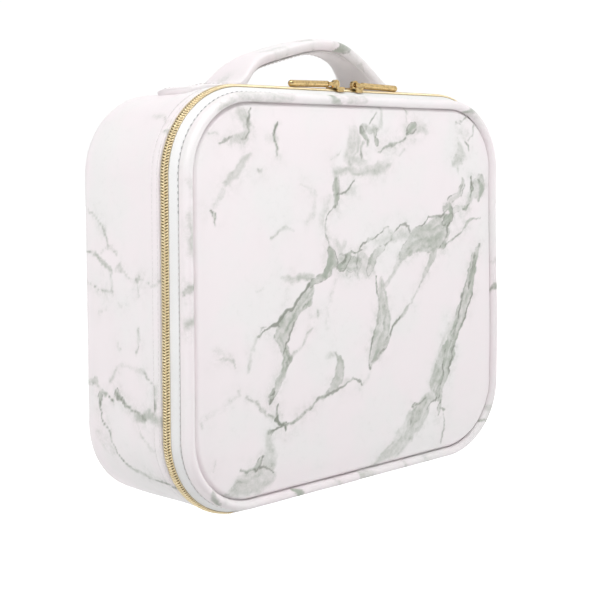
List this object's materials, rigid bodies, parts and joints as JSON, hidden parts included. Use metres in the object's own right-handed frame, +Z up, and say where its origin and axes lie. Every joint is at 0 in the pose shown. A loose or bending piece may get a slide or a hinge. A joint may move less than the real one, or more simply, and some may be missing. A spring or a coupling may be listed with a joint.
{
  "type": "makeup train case",
  "caption": "Soft padded zip-round makeup case with a front lid, a carry handle on top, movable dividers and a brush holder inside the lid.",
  "frame": {"origin": "on the surface that the case stands on, under the middle of the case's width and depth", "axes": "+Z up, towards the handle; +X to the right, along the width; -Y is the front, where the lid opens"},
  "size_m": [0.27, 0.095, 0.272],
  "materials": {
    "marble_leather": "satin",
    "plain_leather": "satin",
    "zip_tape": "matte",
    "gold": "polished",
    "chain": "polished",
    "foam": "matte",
    "board": "matte",
    "lining": "matte",
    "divider": "matte",
    "hook_tape": "matte",
    "elastic": "matte"
  },
  "bodies": {
    "base": {"base_gusset": "marble_leather", "base_foam_wall": "foam", "base_lining": "lining", "rear_piping": "marble_leather", "back_panel": "marble_leather", "back_board": "board", "base_seam_binding": "lining", "base_zip_tape": "zip_tape", "base_zip_chain": "chain", "hinge_strip_base": "plain_leather", "handle_strap": "marble_leather", "handle_core": "foam", "handle_underside": "plain_leather", "divider_shelf": "divider", "divider_shelf_hooks": "hook_tape"},
    "lid": {"lid_edge_roll": "marble_leather", "lid_roll_core": "foam", "lid_panel": "marble_leather", "lid_board": "board", "lid_lining": "lining", "lid_seam_binding": "lining", "lid_zip_tape": "zip_tape", "lid_zip_chain": "chain", "hinge_strip_lid": "plain_leather", "brush_board": "lining", "brush_pocket": "lining", "brush_elastic": "elastic"},
    "slider_left": {"slider_left": "gold"},
    "pull_left": {"pull_left": "gold"},
    "slider_right": {"slider_right": "gold"},
    "pull_right": {"pull_right": "gold"},
    "divider_upper_left": {"divider_upper_left": "divider", "divider_upper_left_hooks": "hook_tape"},
    "divider_upper_right": {"divider_upper_right": "divider", "divider_upper_right_hooks": "hook_tape"},
    "divider_lower_left": {"divider_lower_left": "divider", "divider_lower_left_hooks": "hook_tape"},
    "divider_lower_right": {"divider_lower_right": "divider", "divider_lower_right_hooks": "hook_tape"}
  },
  "joints": [
    {"name": "lid_hinge", "type": "hinge", "parent": "base", "child": "lid", "pos_m": [0, -0.0335, 0], "axis": [1, 0, 0], "range_deg": [0, 180]},
    {"name": "slider_left_slide", "type": "slide", "parent": "base", "child": "slider_left", "axis": [-1, 0, 0], "range_m": [0, 0.07]},
    {"name": "pull_left_turn", "type": "hinge", "parent": "slider_left", "child": "pull_left", "pos_m": [-0.00865, -0.0335, 0.2432], "axis": [0, 1, 0], "range_deg": [0, 90]},
    {"name": "slider_right_slide", "type": "slide", "parent": "base", "child": "slider_right", "axis": [1, 0, 0], "range_m": [0, 0.07]},
    {"name": "pull_right_turn", "type": "hinge", "parent": "slider_right", "child": "pull_right", "pos_m": [0.00865, -0.0335, 0.2432], "axis": [0, -1, 0], "range_deg": [0, 90]},
    {"name": "divider_upper_left_slide", "type": "slide", "parent": "base", "child": "divider_upper_left", "axis": [1, 0, 0], "range_m": [-0.03, 0.03]},
    {"name": "divider_upper_right_slide", "type": "slide", "parent": "base", "child": "divider_upper_right", "axis": [1, 0, 0], "range_m": [-0.03, 0.03]},
    {"name": "divider_lower_left_slide", "type": "slide", "parent": "base", "child": "divider_lower_left", "axis": [1, 0, 0], "range_m": [-0.024, 0.024]},
    {"name": "divider_lower_right_slide", "type": "slide", "parent": "base", "child": "divider_lower_right", "axis": [1, 0, 0], "range_m": [-0.024, 0.024]}
  ]
}
